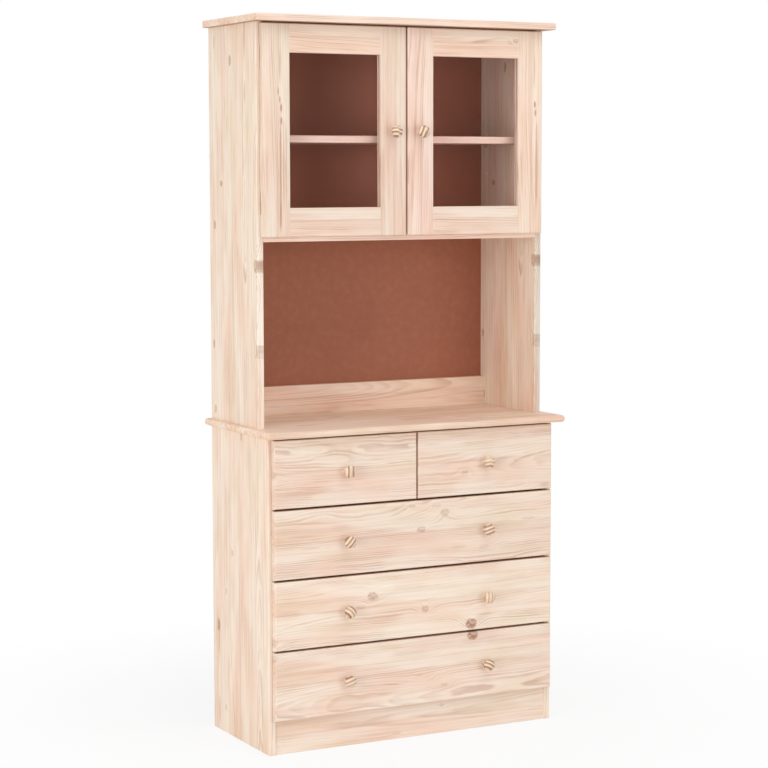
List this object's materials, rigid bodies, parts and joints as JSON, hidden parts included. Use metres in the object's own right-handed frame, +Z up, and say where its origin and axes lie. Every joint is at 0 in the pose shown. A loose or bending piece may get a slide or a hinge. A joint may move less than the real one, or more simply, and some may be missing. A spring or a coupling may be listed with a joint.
{
  "type": "tall sideboard",
  "caption": "Tall pine sideboard: chest of drawers with a bullnosed counter below, and an open niche and a cupboard with two framed glass doors above.",
  "frame": {"origin": "centre of the bounding box's footprint, on the floor", "axes": "+X to the right as seen from the front, +Y to the back, +Z up; the doors and drawers face -Y"},
  "size_m": [0.775, 0.356, 1.655],
  "materials": {
    "pine": "planed pine, clear matt finish",
    "pine_inner": "planed pine, unfinished",
    "pine_knob": "turned pine, clear matt finish",
    "beech": "planed beech, unfinished",
    "hardboard": "brown hardboard, satin face",
    "glass": "clear float glass",
    "steel": "zinc plated",
    "brass_plated_steel": "pale brass plated"
  },
  "bodies": {
    "case": {"lower_side_left": "pine", "lower_side_right": "pine", "counter_top": "pine", "lower_back_panel": "hardboard", "plinth_front": "pine", "base_rail_rear": "pine_inner", "drawer_rail_front": "pine", "drawer_rail_rear": "pine_inner", "centre_partition": "pine_inner", "upper_side_left": "pine", "upper_side_right": "pine", "top_board": "pine", "cupboard_floor": "pine", "niche_back_rail": "pine", "upper_back_panel": "hardboard", "cupboard_shelf": "pine", "shelf_pins": "steel", "case_dowels": "beech", "hinge_case_leaves": "brass_plated_steel", "hinge_pins": "brass_plated_steel", "drawer_runners": "beech", "case_screws": "steel"},
    "door_left": {"door_left_rail_bottom": "pine", "door_left_rail_top": "pine", "door_left_stile_hinge": "pine", "door_left_stile_lock": "pine", "door_left_glass": "glass", "door_left_glazing_beads": "pine", "door_left_knob": "pine_knob", "door_left_hinge_leaves": "brass_plated_steel", "door_left_hinge_screws": "brass_plated_steel"},
    "door_right": {"door_right_rail_bottom": "pine", "door_right_rail_top": "pine", "door_right_stile_hinge": "pine", "door_right_stile_lock": "pine", "door_right_glass": "glass", "door_right_glazing_beads": "pine", "door_right_knob": "pine_knob", "door_right_hinge_leaves": "brass_plated_steel", "door_right_hinge_screws": "brass_plated_steel"},
    "drawer_bottom": {"drawer_bottom_front": "pine", "drawer_bottom_box": "pine_inner", "drawer_bottom_bottom": "hardboard", "drawer_bottom_knobs": "pine_knob"},
    "drawer_third": {"drawer_third_front": "pine", "drawer_third_box": "pine_inner", "drawer_third_bottom": "hardboard", "drawer_third_knobs": "pine_knob"},
    "drawer_second": {"drawer_second_front": "pine", "drawer_second_box": "pine_inner", "drawer_second_bottom": "hardboard", "drawer_second_knobs": "pine_knob"},
    "drawer_top_left": {"drawer_top_left_front": "pine", "drawer_top_left_box": "pine_inner", "drawer_top_left_bottom": "hardboard", "drawer_top_left_knobs": "pine_knob"},
    "drawer_top_right": {"drawer_top_right_front": "pine", "drawer_top_right_box": "pine_inner", "drawer_top_right_bottom": "hardboard", "drawer_top_right_knobs": "pine_knob"}
  },
  "joints": [
    {"name": "drawer_bottom_slide", "type": "slide", "parent": "case", "child": "drawer_bottom", "axis": [0, -1, 0], "range_m": [0, 0.22]},
    {"name": "drawer_third_slide", "type": "slide", "parent": "case", "child": "drawer_third", "axis": [0, -1, 0], "range_m": [0, 0.22]},
    {"name": "drawer_second_slide", "type": "slide", "parent": "case", "child": "drawer_second", "axis": [0, -1, 0], "range_m": [0, 0.22]},
    {"name": "drawer_top_left_slide", "type": "slide", "parent": "case", "child": "drawer_top_left", "axis": [0, -1, 0], "range_m": [0, 0.22]},
    {"name": "drawer_top_right_slide", "type": "slide", "parent": "case", "child": "drawer_top_right", "axis": [0, -1, 0], "range_m": [0, 0.22]},
    {"name": "door_left_hinge", "type": "hinge", "parent": "case", "child": "door_left", "pos_m": [-0.359, -0.0885, 1.239], "axis": [0, 0, -1], "range_deg": [0, 100]},
    {"name": "door_right_hinge", "type": "hinge", "parent": "case", "child": "door_right", "pos_m": [0.359, -0.0885, 1.239], "axis": [0, 0, 1], "range_deg": [0, 100]}
  ]
}
